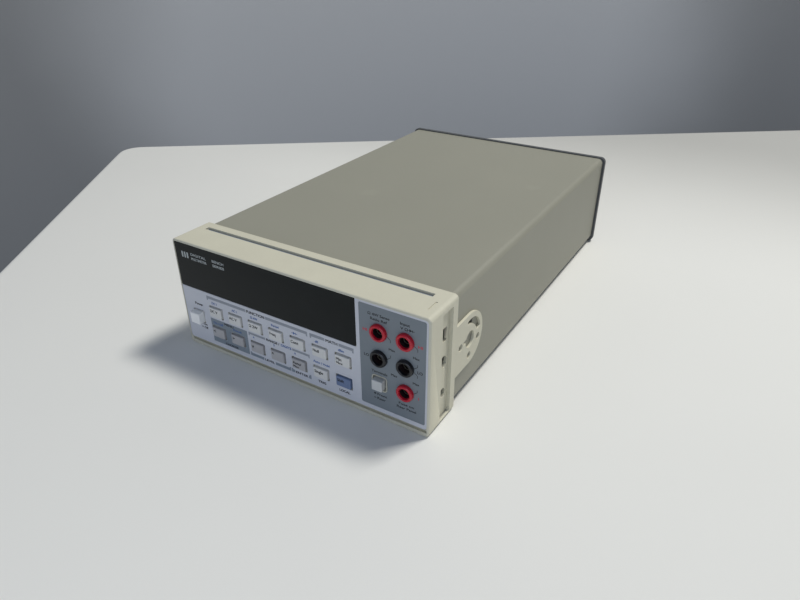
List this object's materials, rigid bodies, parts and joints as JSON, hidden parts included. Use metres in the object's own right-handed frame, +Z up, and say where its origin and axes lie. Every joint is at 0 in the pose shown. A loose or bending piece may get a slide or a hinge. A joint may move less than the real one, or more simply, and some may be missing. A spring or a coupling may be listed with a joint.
{
  "type": "digital multimeter",
  "caption": "Half-rack bench digital multimeter with a wide smoked display window, rows of keys, shrouded front sockets and a painted steel sleeve.",
  "frame": {"origin": "centre of the base of the whole instrument, power button included, in the plane of the bench", "axes": "+Z up, +X to the right of a person facing the front panel, +Y from the front to the rear"},
  "size_m": [0.2126, 0.3532, 0.0885],
  "materials": {
    "bezel_plastic": "moulded, fine spark texture",
    "overlay_print": "printed polycarbonate sheet",
    "terminal_print": "printed polycarbonate sheet",
    "window_smoke": "smoked, glossy",
    "key_light": "moulded",
    "key_grey": "moulded",
    "key_blue": "moulded",
    "button_white": "moulded",
    "button_grey": "moulded",
    "jack_red": "moulded",
    "jack_black": "moulded",
    "contact_nickel": "nickel plated",
    "zinc_steel": "zinc plated",
    "mat_rubber": "silicone rubber",
    "foot_rubber": "matt",
    "circuit_board": "glass-epoxy laminate",
    "display_glass": "vacuum tube glass",
    "cabinet_paint": "textured baked paint",
    "tray_metal": "chromated sheet",
    "panel_paint": "baked paint",
    "frame_plastic": "moulded, fine texture",
    "black_plastic": "moulded",
    "core_steel": "varnished laminations",
    "winding_tape": "insulating tape",
    "can_aluminium": "sleeved can",
    "cable_grey": "flat cable"
  },
  "bodies": {
    "case": {"front_bezel": "bezel_plastic", "right_handle_ear": "bezel_plastic", "left_handle_ear": "bezel_plastic", "front_overlay": "overlay_print", "terminal_overlay": "terminal_print", "display_window": "window_smoke", "display_tube": "display_glass", "key_mat": "mat_rubber", "power_switch": "black_plastic", "input_select_switch": "black_plastic", "sense_high_jack": "jack_red", "sense_low_jack": "jack_black", "input_high_jack": "jack_red", "input_low_jack": "jack_black", "current_jack": "jack_red", "jack_sockets": "contact_nickel", "jack_nuts": "zinc_steel", "rear_red_jacks": "jack_red", "rear_black_jacks": "jack_black", "display_board": "circuit_board", "main_board": "circuit_board", "ribbon_cable": "cable_grey", "cabinet_cover": "cabinet_paint", "chassis_tray": "tray_metal", "rear_panel": "panel_paint", "rear_bezel": "frame_plastic", "rear_feet": "foot_rubber", "case_screws": "zinc_steel", "coax_connectors": "contact_nickel", "bus_connector": "zinc_steel", "serial_connector": "zinc_steel", "connector_studs": "zinc_steel", "ac_inlet": "black_plastic", "ac_inlet_pins": "contact_nickel", "current_fuse_holder": "black_plastic", "transformer_core": "core_steel", "transformer_winding": "winding_tape", "capacitors": "can_aluminium", "heat_sink": "can_aluminium"},
    "key_dc_volts": {"key_dc_volts": "key_light"},
    "key_ac_volts": {"key_ac_volts": "key_light"},
    "key_resistance": {"key_resistance": "key_light"},
    "key_frequency": {"key_frequency": "key_light"},
    "key_continuity": {"key_continuity": "key_light"},
    "key_null": {"key_null": "key_light"},
    "key_min_max": {"key_min_max": "key_light"},
    "key_cursor_left": {"key_cursor_left": "key_grey"},
    "key_cursor_right": {"key_cursor_right": "key_grey"},
    "key_range_down": {"key_range_down": "key_grey"},
    "key_range_up": {"key_range_up": "key_grey"},
    "key_auto_manual": {"key_auto_manual": "key_grey"},
    "key_single_trigger": {"key_single_trigger": "key_light"},
    "key_shift": {"key_shift": "key_blue"},
    "power_button": {"power_button": "button_white", "power_rod": "button_grey"},
    "input_select_button": {"input_select_button": "button_grey"},
    "fuse_drawer": {"fuse_drawer": "black_plastic", "line_fuse": "display_glass"},
    "current_fuse_cap": {"current_fuse_cap": "black_plastic", "current_fuse": "display_glass"}
  },
  "joints": [
    {"name": "press_dc_volts", "type": "slide", "parent": "case", "child": "key_dc_volts", "axis": [0, 1, 0], "range_m": [0, 0.001], "stiffness_N_per_m": 500},
    {"name": "press_ac_volts", "type": "slide", "parent": "case", "child": "key_ac_volts", "axis": [0, 1, 0], "range_m": [0, 0.001], "stiffness_N_per_m": 500},
    {"name": "press_resistance", "type": "slide", "parent": "case", "child": "key_resistance", "axis": [0, 1, 0], "range_m": [0, 0.001], "stiffness_N_per_m": 500},
    {"name": "press_frequency", "type": "slide", "parent": "case", "child": "key_frequency", "axis": [0, 1, 0], "range_m": [0, 0.001], "stiffness_N_per_m": 500},
    {"name": "press_continuity", "type": "slide", "parent": "case", "child": "key_continuity", "axis": [0, 1, 0], "range_m": [0, 0.001], "stiffness_N_per_m": 500},
    {"name": "press_null", "type": "slide", "parent": "case", "child": "key_null", "axis": [0, 1, 0], "range_m": [0, 0.001], "stiffness_N_per_m": 500},
    {"name": "press_min_max", "type": "slide", "parent": "case", "child": "key_min_max", "axis": [0, 1, 0], "range_m": [0, 0.001], "stiffness_N_per_m": 500},
    {"name": "press_cursor_left", "type": "slide", "parent": "case", "child": "key_cursor_left", "axis": [0, 1, 0], "range_m": [0, 0.001], "stiffness_N_per_m": 500},
    {"name": "press_cursor_right", "type": "slide", "parent": "case", "child": "key_cursor_right", "axis": [0, 1, 0], "range_m": [0, 0.001], "stiffness_N_per_m": 500},
    {"name": "press_range_down", "type": "slide", "parent": "case", "child": "key_range_down", "axis": [0, 1, 0], "range_m": [0, 0.001], "stiffness_N_per_m": 500},
    {"name": "press_range_up", "type": "slide", "parent": "case", "child": "key_range_up", "axis": [0, 1, 0], "range_m": [0, 0.001], "stiffness_N_per_m": 500},
    {"name": "press_auto_manual", "type": "slide", "parent": "case", "child": "key_auto_manual", "axis": [0, 1, 0], "range_m": [0, 0.001], "stiffness_N_per_m": 500},
    {"name": "press_single_trigger", "type": "slide", "parent": "case", "child": "key_single_trigger", "axis": [0, 1, 0], "range_m": [0, 0.001], "stiffness_N_per_m": 500},
    {"name": "press_shift", "type": "slide", "parent": "case", "child": "key_shift", "axis": [0, 1, 0], "range_m": [0, 0.001], "stiffness_N_per_m": 500},
    {"name": "power_push", "type": "slide", "parent": "case", "child": "power_button", "axis": [0, 1, 0], "range_m": [0, 0.0035], "stiffness_N_per_m": 400},
    {"name": "input_select_push", "type": "slide", "parent": "case", "child": "input_select_button", "axis": [0, 1, 0], "range_m": [0, 0.0025], "stiffness_N_per_m": 400},
    {"name": "fuse_drawer_slide", "type": "slide", "parent": "case", "child": "fuse_drawer", "axis": [0, 1, 0], "range_m": [0, 0.022]},
    {"name": "current_fuse_turn", "type": "hinge", "parent": "case", "child": "current_fuse_cap", "pos_m": [0.062, 0.16655, 0.027], "axis": [0, 1, 0], "range_deg": [0, 60]}
  ]
}
